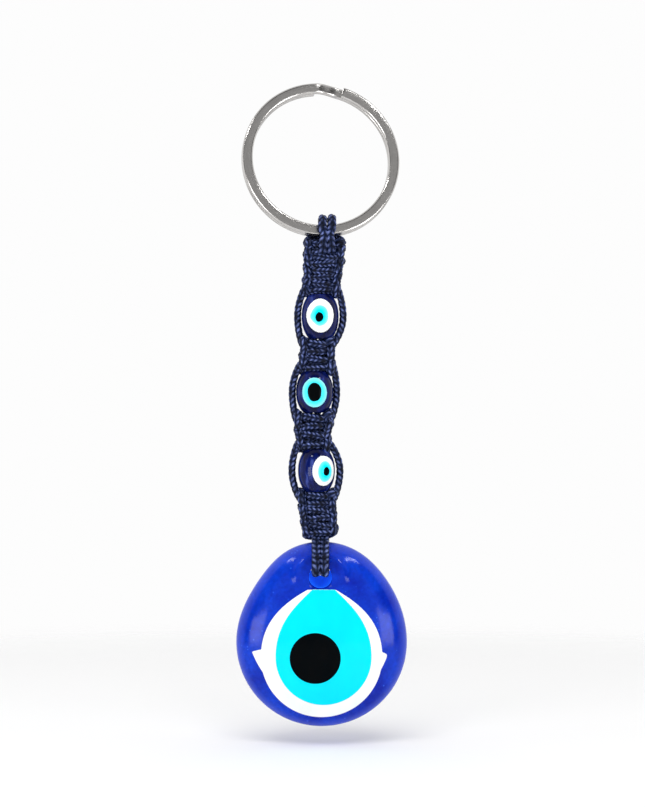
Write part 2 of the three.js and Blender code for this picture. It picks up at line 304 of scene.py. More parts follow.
def bore_material():
    """The hole's wall: painted light, a bright blue with a faint glow that stands in for light
    coming through the glass around it.
    """
    return new_material(
        "cobalt_bore_glow",
        Base_Color=(0.011, 0.15, 1.0, 1),
        Roughness=0.3,
        IOR=1.5,
        Specular_IOR_Level=0.0,
        Emission_Color=(0.008, 0.07, 0.55, 1),
        Emission_Strength=0.6,
    )[0]


def inlay_material(name, low, high, scale, gloss=0.1, pale=None):
    """Opaque coloured glass with soft streaks between two shades, and a pale edge on the beads."""
    material, tree, shader, place = glass_base(name, 0.09, gloss)
    streaks = noise(tree, stretched(tree, place, (1.0, 1.0, 0.55)), scale, 3.0, 0.55)
    colour = ramp(tree, streaks, [(0.35, low), (0.65, high)])
    if pale:
        bled = grey_ramp(tree, attribute(tree, "edge"), [(0.5, 0.0), (0.72, 0.25), (1.0, 1.0)])
        colour = mixed(tree, bled, colour, pale)
    tree.links.new(colour, shader.inputs["Base Color"])
    add_waves(tree, shader, place, 320.0, 0.08, 0.2)
    return material


def bead_material():
    """Dark navy glass with paler wound streaks, and a painted sheen that makes it paler towards its
    outline.
    """
    material, tree, shader, place = glass_base("navy_glass", 0.08, 0.17)
    winding = noise(tree, stretched(tree, place, (1.0, 1.0, 0.3)), 620.0, 3.0, 0.6)
    stops = [(0.4, (0.001, 0.002, 0.028)), (0.6, (0.003, 0.009, 0.1)), (0.76, (0.05, 0.08, 0.34))]
    body = ramp(tree, winding, stops)
    # Painted sheen: the glass is painted a paler blue where it turns away towards its outline.
    edge = add_node(tree, "LayerWeight", {"Blend": 0.35}).outputs["Facing"]
    soft = grey_ramp(tree, edge, [(0.3, 0.0), (0.9, 0.25)])
    tree.links.new(mixed(tree, soft, body, (0.012, 0.035, 0.22)), shader.inputs["Base Color"])
    add_waves(tree, shader, place, 420.0, 0.15, 0.15)
    return material


def make_materials():
    return {
        "ring_steel": steel_material(),
        "cord_navy": cord_material(),
        "glass_cobalt": cobalt_material(),
        "glass_bore": bore_material(),
        "glass_navy": bead_material(),
        "glass_white": inlay_material("white_glass", (0.88, 0.91, 0.88), (0.96, 0.97, 0.95), 240.0),
        "glass_turquoise": inlay_material(
            "turquoise_glass", (0.0, 0.72, 0.92), (0.0, 0.8, 0.99), 130.0, pale=(0.32, 0.8, 0.82)
        ),
        "glass_black": inlay_material(
            "black_glass", (0.001, 0.002, 0.003), (0.002, 0.0025, 0.003), 400.0, gloss=0.02
        ),
    }


# ---- Mesh helpers ----


def make_piece(name, points, faces, slot, attributes=None, corner_uvs=None):
    """A closed, smooth piece from points in millimetres, with the material of its slot."""
    mesh = bpy.data.meshes.new(name)
    mesh.from_pydata((np.asarray(points) * MM).tolist(), [], faces)
    if corner_uvs is not None:
        layer = mesh.uv_layers.new(name="UVMap")
        layer.data.foreach_set("uv", np.asarray(corner_uvs, np.float32).ravel())
    for key, values in (attributes or {}).items():
        set_attribute(mesh, key, values)
    form = bmesh.new()
    form.from_mesh(mesh)
    bmesh.ops.recalc_face_normals(form, faces=form.faces)
    form.to_mesh(mesh)
    form.free()
    mesh.shade_smooth()
    mesh.materials.append(materials[slot])
    piece = add_object(name, mesh)
    return piece


def sharpen(piece, degrees):
    """Keeps edges sharper than this many degrees crisp."""
    piece.data.set_sharp_from_angle(angle=degrees * DEGREE)


def closed_faces(rings, sides):
    """Quads between rings, where the last ring joins the first."""
    faces = []
    for i in range(rings):
        here = i * sides
        following = (i + 1) % rings * sides
        for j in range(sides):
            k = (j + 1) % sides
            faces.append((here + j, here + k, following + k, following + j))
    return faces


def tube_faces(rings, sides):
    """Quads between rings, and the fans that close the two ends round the last two points."""
    faces = closed_faces(rings, sides)[:-sides]
    first, last = rings * sides, rings * sides + 1
    end = (rings - 1) * sides
    for j in range(sides):
        k = (j + 1) % sides
        faces += [(first, k, j), (last, end + j, end + k)]
    return faces


def tube_uvs(along, around):
    """A corner's UV is its distance along the tube and round it, for the faces of tube_faces."""
    uvs = []
    for here, following in zip(along, along[1:]):
        for low, high in zip(around, around[1:]):
            uvs += [(here, low), (here, high), (following, high), (following, low)]
    first, last = along[0], along[-1]
    for low, high in zip(around, around[1:]):
        uvs += [(first, low), (first, high), (first, low), (last, low), (last, low), (last, high)]
    return uvs


SPAN_SAMPLES = 14


def smooth_path(points, step):
    """Points at even steps along a centripetal Catmull-Rom curve, and their distances along it."""
    p = np.array(points, float)
    p = np.vstack([2 * p[0] - p[1], p, 2 * p[-1] - p[-2]])
    fine = []
    for i in range(1, len(p) - 2):
        p0, p1, p2, p3 = p[i - 1 : i + 3]
        t1 = np.linalg.norm(p1 - p0) ** 0.5
        t2 = t1 + np.linalg.norm(p2 - p1) ** 0.5
        t3 = t2 + np.linalg.norm(p3 - p2) ** 0.5
        t = np.linspace(t1, t2, SPAN_SAMPLES, endpoint=False)[:, None]
        a1 = (t1 - t) / t1 * p0 + t / t1 * p1
        a2 = (t2 - t) / (t2 - t1) * p1 + (t - t1) / (t2 - t1) * p2
        a3 = (t3 - t) / (t3 - t2) * p2 + (t - t2) / (t3 - t2) * p3
        b1 = (t2 - t) / t2 * a1 + t / t2 * a2
        b2 = (t3 - t) / (t3 - t1) * a2 + (t - t1) / (t3 - t1) * a3
        fine.append((t2 - t) / (t2 - t1) * b1 + (t - t1) / (t2 - t1) * b2)
    fine = np.vstack([*fine, p[-2:-1]])
    length = np.concatenate([[0], np.cumsum(np.linalg.norm(np.diff(fine, axis=0), axis=1))])
    places = np.linspace(0, length[-1], round(length[-1] / step) + 1)
    path = np.stack([np.interp(places, length, fine[:, k]) for k in range(3)], 1)
    return path, places


def path_frames(path):
    """Two directions across the path, which turn with it without twisting."""
    tangents = np.gradient(path, axis=0)
    tangents /= np.linalg.norm(tangents, axis=1)[:, None]
    across = np.zeros_like(path)
    normal = np.array([0.0, -1.0, 0.0])
    for i, tangent in enumerate(tangents):
        normal = normal - tangent * (normal @ tangent)
        normal /= np.linalg.norm(normal)
        across[i] = normal
    return across, np.cross(tangents, across)


# ---- Braided cord ----

CORD_SIDES = 24
CORD_STEP = 0.13
# The share of the radius between the braid's crowns and its grooves.
BRAID_DEPTH = 0.24
BRAID_LEAN = 0.4
# Columns round the cord, and millimetres from one strand to the next.
KNOT_BRAID = (6, 0.72)
PLAIN_BRAID = (4, 1.0)
# Where the cord's round ends sit on the braid height, and so on the painted shade and highlight
# ramp.
END_CROWN = 0.3
END_BLUNTNESS = 0.02


def braid(along, turn, columns, pitch):
    """Height of the braid, 0 to 1: columns of strands that lean left and right in turn."""
    place = columns * turn / (2 * math.pi)
    column = np.floor(place + 1e-6)
    across = 2 * (place - column) - 1
    lean = np.where(column % 2 == 0, BRAID_LEAN, -BRAID_LEAN)
    strand = (along[:, None] / pitch + lean * across) % 1.0
    crown = np.sqrt(np.clip(1 - (2 * strand - 1) ** 2, 0, 1))
    return crown * (0.4 + 0.6 * np.sqrt(np.clip(1 - across**2, 0, 1)))


def cord(name, points, radius, weave=PLAIN_BRAID, twist=0.0, step=CORD_STEP):
    """One braided cord along a path, with round ends. twist is in radians for each millimetre."""
    path, along = smooth_path(points, step)
    turn = angles_round(CORD_SIDES)
    height = braid(along, turn[None, :], *weave)
    from_end = np.minimum(along, along[-1] - along) + END_BLUNTNESS
    taper = np.sqrt(np.clip(1 - (1 - np.minimum(from_end / radius, 1)) ** 2, 0, 1))
    across, side = path_frames(path)
    angle = turn[None, :] + twist * along[:, None]
    reach = radius * taper[:, None] * (1 - BRAID_DEPTH * (1 - height))
    rings = path[:, None, :] + reach[..., None] * (
        np.cos(angle)[..., None] * across[:, None, :] + np.sin(angle)[..., None] * side[:, None, :]
    )
    points = np.vstack([rings.reshape(-1, 3), path[:1], path[-1:]])
    crown = np.concatenate([height.ravel(), [END_CROWN, END_CROWN]])
    faces = tube_faces(len(path), CORD_SIDES)
    uvs = tube_uvs(along, np.linspace(0, 1, CORD_SIDES + 1))
    return make_piece(name, points, faces, "cord_navy", {"crown": crown}, uvs)


# ---- Split ring ----

RING_OUTER_RADIUS = 15
WIRE_WIDTH = 2
WIRE_THICKNESS = 1.2
WIRE_CORNER = 0.45
TURN_SPACING = 1.3
RING_TILT = 12 * DEGREE
RING_YAW = 8 * DEGREE
# Degrees clockwise from the ring's top: the wire's two ends, and the step between its turns.
FRONT_END = 18.6
STEP_START = 357
STEP_END = 376
REAR_END = 716.5
RING_DEGREES_PER_STEP = 1.4
CORNER_POINTS = 6
END_BEVEL = 0.1
CRISP_WIRE_EDGE = 35


def wire_section():
    """The flat wire's outline: axial and radial offsets, with round corners."""
    x = WIRE_THICKNESS / 2 - WIRE_CORNER
    y = WIRE_WIDTH / 2 - WIRE_CORNER
    outline = []
    for corner, (cx, cy) in enumerate([(x, y), (-x, y), (-x, -y), (x, -y)]):
        for n in range(CORNER_POINTS + 1):
            angle = (corner + n / CORNER_POINTS) * math.pi / 2
            outline.append((cx + WIRE_CORNER * math.cos(angle), cy + WIRE_CORNER * math.sin(angle)))
    return np.array(outline)


def make_ring():
    """Two turns of flat wire: the front turn steps back to the rear one near the top."""
    section = wire_section()
    radius = RING_OUTER_RADIUS - WIRE_WIDTH / 2
    centre_z = WIRE_WIDTH - RING_OUTER_RADIUS
    bevel = END_BEVEL / radius / DEGREE
    steps = round((REAR_END - FRONT_END) / RING_DEGREES_PER_STEP)
    places = np.linspace(FRONT_END + bevel, REAR_END - bevel, steps + 1)
    places = np.concatenate([[FRONT_END], places, [REAR_END]])
    shrink = np.ones(len(places))
    shrink[[0, -1]] = 1 - END_BEVEL
    t = np.clip((places - STEP_START) / (STEP_END - STEP_START), 0, 1)
    depth = (t * t * (3 - 2 * t) - 0.5) * TURN_SPACING
    angle = places * DEGREE
    sine, cosine = np.sin(angle), np.cos(angle)
    outwards = radius + section[None, :, 1] * shrink[:, None]
    local = np.stack(
        [
            outwards * sine[:, None],
            depth[:, None] + section[None, :, 0] * shrink[:, None],
            centre_z + outwards * cosine[:, None],
        ],
        -1,
    ).reshape(-1, 3)
    ends = np.stack([radius * sine, depth, centre_z + radius * cosine], 1)[[0, -1]]
    turn = np.array(Matrix.Rotation(RING_YAW, 3, "Z") @ Matrix.Rotation(-RING_TILT, 3, "X"))
    points = np.vstack([local, ends]) @ turn.T
    edge = np.linalg.norm(np.diff(np.vstack([section, section[:1]]), axis=0), axis=1)
    around = np.concatenate([[0], np.cumsum(edge)])
    faces = tube_faces(len(places), len(section))
    uvs = tube_uvs(angle * radius, around)
    piece = make_piece("ring_wire", points, faces, "ring_steel", corner_uvs=uvs)
    sharpen(piece, CRISP_WIRE_EDGE)
    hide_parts("split_ring")
    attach(piece, "ring")


# ---- Strap: where its parts are ----

LEFT, RIGHT = -1, 1
SIDES = ((LEFT, "left"), (RIGHT, "right"))
SECTION_BODIES = ["upper_strap", "middle_strap_a", "middle_strap_b", "lower_strap"]
KNOTS_PER_SECTION = [4, 2, 2, 3]
BEAD_COUNT = 3
WIRE_BOTTOM = joint_place("strap_swing")
STRAP_Y = WIRE_BOTTOM[1]
WORKING_RADIUS = 0.84
CORE_RADIUS = 0.8
SIDE_RADIUS = 0.7
LOOP_RADIUS = 0.89
CORE_SPACING = 1.56


class Section:
    """One run of square knots between beads, measured from its CAD knots."""

    def __init__(self, number):
        first = 1 + sum(KNOTS_PER_SECTION[:number])
        self.names = [f"knot_{n:02d}" for n in range(first, first + KNOTS_PER_SECTION[number])]
        boxes = [node_box(name) for name in self.names]
        self.body = SECTION_BODIES[number]
        self.top = boxes[0][1][2]
        self.bottom = boxes[-1][0][2]
        self.heights = [(low[2] + high[2]) / 2 for low, high in boxes]
        self.middles = [(low[0] + high[0]) / 2 for low, high in boxes]
        self.halves = [(high[0] - low[0]) / 2 for low, high in boxes]

    def at(self, z):
        """Middle x and half width of the strap at a height."""
        heights = -np.array(self.heights)
        return np.interp(-z, heights, self.middles), np.interp(-z, heights, self.halves)


sections = [Section(n) for n in range(len(SECTION_BODIES))]
bead_places = [joint_place(f"strap_fold_{n + 1}") for n in range(BEAD_COUNT)]

# ---- Square knots ----

# A bar's places are this far from the strap's middle. The others are set in from its edge.
BAR_X = 1.0
BAR_Y = 1.25
BAR = None
EDGE = 0.72
SPREAD = 0.16
SHOULDER_RISE = 0.55
UNEVEN = 0.07
# Each cord's places on one half knot: side (1 is where its bar leads), inset, y, and height above
# the half knot's level in pitches. The last few turn to the next half knot.
# The front cord crosses before the cores and turns at the strap's edge.
FRONT_ROUTE = [
    (-1, 1.8, -0.7, 0.14),
    (-1, BAR, -BAR_Y, 0.06),
    (1, BAR, -BAR_Y, -0.06),
    (1, 1.75, -0.7, -0.14),
    (1, EDGE + 0.25, -0.3, -0.28),
    (1, EDGE + 0.08, 0.15, -0.5),
    (1, EDGE + 0.25, -0.25, -0.75),
]
FRONT_TURN = 2
# The back cord crosses behind the cores, comes up at the far side and bumps down the front.
BACK_ROUTE = [
    (1, 1.5, 0.9, -0.5),
    (1, BAR, BAR_Y, -0.5),
    (-1, BAR, BAR_Y, -0.4),
    (-1, 1.5, 0.9, -0.2),
    (-1, EDGE + 0.35, -0.3, 0.42),
    (-1, EDGE + 0.32, -1.1, 0.12),
    (-1, EDGE + 0.3, -1.25, -0.4),
    (-1, EDGE + 0.38, -1.05, -0.9),
    (-1, EDGE + 0.8, -0.2, -1.15),
]
BACK_TURN = 3


def knot_point(section, side, inset, y, z):
    """A place this far in from the strap's edge on one side."""
    middle, half = section.at(z)
    return (middle + side * (half + SPREAD - inset), STRAP_Y + y, z)


def loosened(points, seed):
    """Hand-tied: every place but the ends is a little off."""
    rng = np.random.default_rng(seed)
    off = rng.normal(0, UNEVEN, (len(points), 3)).clip(-2 * UNEVEN, 2 * UNEVEN)
    off[[0, 1, -2, -1]] = 0
    return np.array(points) + off


def half_knots(section, levels, pitch, route, turn_places):
    """One cord's places over a section, where half knots cross right and left in turn."""
    points = []
    for j, level in enumerate(levels):
        way = -1 if j % 2 else 1
        middle, _ = section.at(level)
        is_last = j == len(levels) - 1
        for side, inset, y, rise in route[:-turn_places] if is_last else route:
            z = level + rise * pitch
            if inset is BAR:
                points.append((middle + side * way * BAR_X, STRAP_Y + y, z))
            else:
                points.append(knot_point(section, side * way, inset, y, z))
    return points


def make_square_knots(number):
    """A section's knots, tied from two working cords: the front one comes from the left."""
    section = sections[number]
    count = 2 * len(section.names)
    is_first = number == 0
    top = section.top - (SHOULDER_RISE if is_first else 0)
    pitch = (top - section.bottom) / count
    levels = [top - (j + 0.5) * pitch for j in range(count)]
    left = partial(knot_point, section, LEFT)
    right = partial(knot_point, section, RIGHT)
    if is_first:
        over = section.top - 0.1
        start = (section.middles[0], STRAP_Y + 1.0, over + 0.1)
        front = [start, left(1.3, 0.7, over), left(EDGE, 0, over - 0.75)]
        back = [start, right(1.3, 0.5, over), right(EDGE, -0.3, over - 0.7)]
    else:
        front = [left(EDGE + 0.1, 0, top + 0.9), left(EDGE, -0.1, top)]
        back = [right(EDGE + 0.1, 0, top + 0.9), right(EDGE + 0.1, -0.4, top)]
    back.append(right(1.4, -1.15, levels[0] + 0.25 * pitch))
    back.append(right(1.75, -0.4, levels[0] - 0.12 * pitch))
    front += half_knots(section, levels, pitch, FRONT_ROUTE, FRONT_TURN)
    back += half_knots(section, levels, pitch, BACK_ROUTE, BACK_TURN)
    # An even number of half knots leaves each cord on the side that it came from.
    if number < BEAD_COUNT:
        leave = section.bottom - 0.7
        front.append(left(EDGE + 0.1, 0, leave))
        back.append(right(1.1, -1.0, levels[-1] - 0.4 * pitch))
        back.append(right(EDGE + 0.1, -0.1, leave))
    else:
        middle = section.middles[-1]
        tuck = section.bottom + 0.85
        front.append(left(EDGE + 0.5, 0.2, levels[-1] - 0.1 * pitch))
        front.append((middle - 1.2, STRAP_Y + 0.5, tuck))
        back.append(right(EDGE + 0.45, -0.6, levels[-1] - 0.02 * pitch))
        back.append((middle + 1.0, STRAP_Y + 0.4, tuck))
    for n, (which, points) in enumerate((("front", front), ("back", back))):
        name = f"knots_{number + 1}_{which}_cord"
        route = loosened(points, 10 * number + n)
        piece = cord(name, route, WORKING_RADIUS, KNOT_BRAID, twist=0.11 - 0.05 * n)
        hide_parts(*section.names[n::2])
        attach(piece, section.body)


# ---- Core cords and side cords ----

BEND_REACH = 2.6
ARC_REACH = 5.7
ARC_PLACES = 9
# The side cords' middles lie this far inside their CAD tubes. One tube lies behind its bead.
SIDE_INSET = 0.6
BEHIND_FROM = 0.8
SIDE_LEAN = 0.35


def bend(piece, upper_body, lower_body, place, rise, fall):
    """Bakes the piece's placement into its mesh; it does not bend the piece or give it to a body.
    upper_body, lower_body, place, rise and fall are not used.
    """
    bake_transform(piece)


def bend_at_bead(piece, number):
    """Calls bend with the sections above and below the cord's bead, which only bakes the cord's
    placement.
    """
    bodies = SECTION_BODIES[number : number + 2]
    bend(piece, *bodies, bead_places[number], BEND_REACH, BEND_REACH)


def make_core_cords(number):
    """Two strands inside a section's knots, which run on through the bead below it."""
    section = sections[number]
    for side, name in SIDES:
        shift = side * CORE_SPACING / 2
        top = section.top - (0.9 if number == 0 else 0.1)
        points = [(section.middles[0] + shift, STRAP_Y, top)]
        points += [(x + shift, STRAP_Y, z) for x, z in zip(section.middles, section.heights)]
        if number < BEAD_COUNT:
            following = sections[number + 1]
            x, _, z = bead_places[number]
            points.append((x + shift, STRAP_Y, z))
            points.append((following.middles[0] + shift, STRAP_Y, following.top - 0.4))
        else:
            points.append((section.middles[-1] + shift, STRAP_Y, section.bottom + 0.3))
        piece = cord(f"core_{name}_{number + 1}", points, CORE_RADIUS, twist=0.1 * side, step=0.16)
        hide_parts(f"core_cord_{name}_{number + 1}")
        if number < BEAD_COUNT:
            bend_at_bead(piece, number)
        else:
            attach(piece, section.body)


def make_side_cords(number):
    """The working cords between two sections follow their CAD tubes past the bead."""
    above, below = sections[number], sections[number + 1]
    z = bead_places[number][2]
    for side, name in SIDES:
        node = f"side_cord_{name}_{number + 1}"
        low, high = node_box(node)
        out = high[0] - SIDE_INSET if side == RIGHT else low[0] + SIDE_INSET
        behind = high[1] - SIDE_INSET if high[1] - STRAP_Y > BEHIND_FROM else STRAP_Y
        points = []
        for share in np.linspace(1, -1, ARC_PLACES):
            height = z + share * ARC_REACH
            section = above if share > 0 else below
            inner = knot_point(section, side, SIDE_RADIUS + 0.1, 0, height)[0]
            bulge = math.cos(share * math.pi / 2) ** 0.9
            depth = (behind - STRAP_Y) * bulge - SIDE_LEAN * (1 - bulge)
            points.append((inner + (out - inner) * bulge, STRAP_Y + depth, height))
        piece = cord(f"side_{name}_{number + 1}", points, SIDE_RADIUS, twist=-0.1 * side)
        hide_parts(node)
        bend_at_bead(piece, number)


# ---- Loops over the ring and through the pendant ----

RING_LOOP_RADIUS = 2.35
# A loop's front leg, from its end up: reach in front of the loop's middle, and fall below the arch.
RING_LOOP_LEG = [(0.75, 4.55), (2.0, 3.3), (2.35, 2.0), (2.35, 0.7)]
LEG_GATHER = 0.12
ARCH_GATHER = 0.036
ARCH_DEGREES = range(170, 0, -32)
CAD_LOOP_RADIUS = 0.8
# Reaches above and below each joint, passed on to bend.
RING_LOOP_BEND = (0.6, 2.2)
PENDANT_LOOP_BEND = (0.5, 1.6)


def make_ring_loops():
    """Each loop runs over the wire, down the front and back of the first knot, and tucks in."""
    for side, name in SIDES:
        node = f"ring_loop_{name}"
        low, high = node_box(node)
        x, y, _ = (low + high) / 2
        z = high[2] - RING_LOOP_RADIUS - CAD_LOOP_RADIUS
        front = [
            (x - side * LEG_GATHER * n, y - reach, z - fall)
            for n, (reach, fall) in enumerate(RING_LOOP_LEG)
        ]
        back = [(px, 2 * y - py, pz) for px, py, pz in reversed(front)]
        arch = []
        for degrees in ARCH_DEGREES:
            angle = degrees * DEGREE
            across = y + RING_LOOP_RADIUS * math.cos(angle)
            arch.append((x - side * ARCH_GATHER, across, z + RING_LOOP_RADIUS * math.sin(angle)))
        piece = cord(f"loop_{name}", front + arch + back, LOOP_RADIUS, twist=0.04)
        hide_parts(node)
        bend(piece, "ring_loops", "upper_strap", (x, y, WIRE_BOTTOM[2]), *RING_LOOP_BEND)


PENDANT_PLACE_Z = -103.7
# y from the strap's middle, and height above the pendant's widest line.
PENDANT_LOOP = [
    (-0.35, 20.6), (-0.95, 19.6), (-1.6, 18.9), (-2.55, 18.0), (-3.55, 16.4), (-4.35, 15.0),
    (-4.65, 13.95), (-3.9, 13.3), (-2.6, 13.55), (0, 14.3), (2.6, 15.05), (4.1, 15.5),
    (4.9, 16.3), (4.75, 17.5), (4.0, 18.8), (2.6, 19.7), (1.2, 20.5),
]
HOLE_X = 0.35
STRAND_SPREAD = 0.82
STRAND_END_SPREAD = 0.72


def make_pendant_loops():
    """Two strands: down the front from the last knot, through the hole and up behind the glass."""
    for side, name in SIDES:
        points = []
        for n, (y, height) in enumerate(PENDANT_LOOP):
            is_end = n in (0, len(PENDANT_LOOP) - 1)
            spread = STRAND_END_SPREAD if is_end else STRAND_SPREAD
            points.append((HOLE_X + side * spread, STRAP_Y + y, PENDANT_PLACE_Z + height))
        piece = cord(f"pendant_cord_{name}", points, LOOP_RADIUS, twist=0.03 * side)
        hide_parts(f"pendant_loop_{name}")
        place = joint_place("pendant_swing")
        bend(piece, "lower_strap", "pendant_loop", place, *PENDANT_LOOP_BEND)


# ---- Beads ----

BEAD_RADIUS = 3.5
BORE_RADIUS = 1.85
BEAD_FULLNESS = 2.15
# The beads reach up to the knots, where their CAD solids stay clear.
BEAD_STRETCH = 1.17
BEAD_AROUND = 80
BEAD_DOWN = 40
LIP = 0.25
BEAD_HEIGHTS = [8.6, 8, 8.2]
BEAD_TURNS = [0, 0, 28 * DEGREE]
# Each eye's layers: colour, width, height, x, z, and how uneven the outline is.
EYES = [
    [
        ("white", 5.3, 6.6, 0, 0.1, 0.03),
        ("turquoise", 3.6, 4.2, -0.1, 0.1, 0.14),
        ("pupil", 1.7, 2.1, -0.15, -0.2, 0.12),
    ],
    [
        ("turquoise", 4.8, 5.8, 0, -0.1, 0.02),
        ("pupil", 2.8, 4, 0, 0, 0.07),
    ],
    [
        ("white", 4.7, 5.9, 0, 0, 0.03),
        ("turquoise", 3.3, 4.2, 0.1, -0.1, 0.08),
        ("pupil", 1.5, 1.9, 0.3, -0.1, 0.12),
    ],
]
COLOUR_SLOTS = {"white": "glass_white", "turquoise": "glass_turquoise", "pupil": "glass_black"}
LAYER_RINGS = 9
LAYER_AROUND = 56
LAYER_DEPTH = 0.4
LAYER_STEP = 0.018
LAYER_EDGE_DEPTH = 0.008
LAYER_UNDERCUT = 0.985
PHASE_RANGE = 6.3


def bead_reach(z, half_height):
    """The bead's outer radius at a height."""
    share = min(abs(z) / half_height, 1)
    return BEAD_RADIUS * (1 - share**BEAD_FULLNESS) ** (1 / BEAD_FULLNESS)


def bead_glass(name, half_height):
    """A wound glass bead: a full oval with a bore whose mouths are rounded."""
    narrow = (BORE_RADIUS + LIP) / BEAD_RADIUS
    mouth = half_height * (1 - narrow**BEAD_FULLNESS) ** (1 / BEAD_FULLNESS)
    heights = mouth * np.sin(np.linspace(math.pi / 2, -math.pi / 2, BEAD_DOWN))
    outside = [(bead_reach(z, half_height), z) for z in heights]
    inside = [(BORE_RADIUS + 0.07, mouth - 0.02), (BORE_RADIUS, mouth - 0.25), (BORE_RADIUS, 0)]
    inside = [(r, -z) for r, z in inside[:2]] + [(r, z) for r, z in reversed(inside)]
    profile = outside + inside
    turn = angles_round(BEAD_AROUND)
    points = [(r * math.cos(t), r * math.sin(t), z) for t in turn for r, z in profile]
    return make_piece(name, points, closed_faces(BEAD_AROUND, len(profile)), "glass_navy")


def eye_layer(name, half_height, layer, order, way, seed):
    """One fused spot of glass that follows the bead's surface and stands a hair proud of it."""
    colour, width, height, x0, z0, uneven = layer
    rng = np.random.default_rng(seed)
    turn = angles_round(LAYER_AROUND)
    edge = np.ones(LAYER_AROUND)
    for wave in range(2, 6):
        swing = uneven * rng.uniform(-0.5, 0.5)
        edge += swing * np.cos(wave * turn + rng.uniform(0, PHASE_RANGE)) / wave * 2
    shares = np.sin(np.linspace(0, 1, LAYER_RINGS + 1) * math.pi / 2)[1:]
    proud = LAYER_STEP * (order + 1)
    lifts = [proud * (1 - share**8) - LAYER_EDGE_DEPTH * share**8 for share in shares]
    rows = [*zip(shares, lifts), (LAYER_UNDERCUT, -LAYER_DEPTH)]
    edges = np.repeat([share for share, _ in rows], LAYER_AROUND)
    points = []

    def surface(x, z, lift):
        reach = bead_reach(z, half_height) + lift
        y = math.sqrt(max(reach**2 - x**2, 0.01))
        return (-way * x, way * y, z)

    for share, lift in rows:
        for t, e in zip(turn, edge):
            x = x0 + share * e * width / 2 * math.cos(t)
            z = z0 + share * e * height / 2 * math.sin(t)
            points.append(surface(x, z, lift))
    points.append(surface(x0, z0, proud))
    points.append(surface(x0, z0, -LAYER_DEPTH))
    faces = tube_faces(len(rows), LAYER_AROUND)
    return make_piece(name, points, faces, COLOUR_SLOTS[colour], {"edge": [*edges, 0, 0]})


def make_bead(number):
    """A bead with the same eye on its front and its back."""
    node = f"bead_{number + 1}"
    half_height = BEAD_HEIGHTS[number] / 2 * BEAD_STRETCH
    middle = Vector(bead_places[number]) * MM
    place = Matrix.Translation(middle) @ Matrix.Rotation(BEAD_TURNS[number], 4, "Z")
    made = [(bead_glass(f"{node}_body", half_height), f"{node}_glass")]
    for face, way in (("front", -1), ("back", 1)):
        for order, layer in enumerate(EYES[number]):
            name = f"{node}_{face}_{layer[0]}"
            seed = 10 * number + order + (5 if way > 0 else 0)
            made.append((eye_layer(f"{name}_spot", half_height, layer, order, way, seed), name))
    for piece, replaced in made:
        piece.data.transform(place)
        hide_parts(replaced)
        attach(piece, node)


# ---- Pendant ----

PENDANT_X = 0.57
PENDANT_SET_BACK = 0.85
HALF_WIDTH = 16.1
ABOVE = 18.9
BELOW = 15.9
PINCH_LEFT = 0.07
PINCH_RIGHT = 0.03
FRONT = 5.2
BACK = 2.8
ROUNDNESS = 2.3
BACK_FLAT = 0.86
PENDANT_PLACE = Vector((PENDANT_X, STRAP_Y + PENDANT_SET_BACK, PENDANT_PLACE_Z))
PENDANT_AROUND = 360
FRONT_RINGS = 44
BACK_RINGS = 32
RIDGE_RADIUS = 4.4
RIDGE_WIDTH = 0.85
RIDGE_HEIGHT = 0.45
RIDGE_FADE = 2.5
RIDGE_RIM_FADE = 0.12
DROP_TOP = 10.15
DROP_CENTRE = -2.5
WHITE_DROP = {"x": 0, "radius": 11.35, "top": 2.6, "shoulder": (4.15, 7.2, 7.55)}
TURQUOISE_DROP = {"x": 0.37, "radius": 8.95, "top": 2.1, "shoulder": (3.95, 5.2, 7.15)}
PUPIL_X = -1.19
PUPIL_Z = -2.65
PUPIL_RADIUS = 4.75
POCKET_DEPTH = 1.4
PIECE_GAP = 0.012
FLOOR_GAP = 0.02
# White runs out in a small tip on each side: side, top, bottom, how far it stands out.
TIPS = [(LEFT, -1.45, -5.35, 1.75), (RIGHT, -2.05, -4.85, 1.0)]
TIP_TOP_SLOPE = 0.35
HOLE_HEIGHT = 12.5
HOLE_RADIUS = 2.1
HOLE_SLANT = 16 * DEGREE
HOLE_FRONT_Y = -4.15
FRONT_FLARE = 0.48
BACK_FLARE = 0.6
FLARE_STEPS = 6
CUTTER_SIDES = 72
CUTTER_EXTRA = 4
BORE_MARGIN = 0.1
RIM_FROM = 0.9
RIM_WIDTH = 0.1
CRISP_GLASS_EDGE = 42
CRISP_INLAY_EDGE = 45
# The pendant's pieces are made of rings about the pupil's middle, with a point in each direction.
DIRECTIONS = angles_round(PENDANT_AROUND)
OUTWARDS = np.stack([np.cos(DIRECTIONS), np.sin(DIRECTIONS)], 1)
# Points on each curve of the outlines.
CURVE_POINTS = 40
ROUND_POINTS = 120
TOP_POINTS = 20
RIM_POINTS = 1440


def bezier(p0, p1, p2, p3):
    """Points along a cubic curve, without its last one."""
    t = np.linspace(0, 1, CURVE_POINTS, endpoint=False)[:, None]
    p0, p1, p2, p3 = (np.array(p, float) for p in (p0, p1, p2, p3))
    return (1 - t) ** 3 * p0 + 3 * (1 - t) ** 2 * t * p1 + 3 * (1 - t) * t**2 * p2 + t**3 * p3


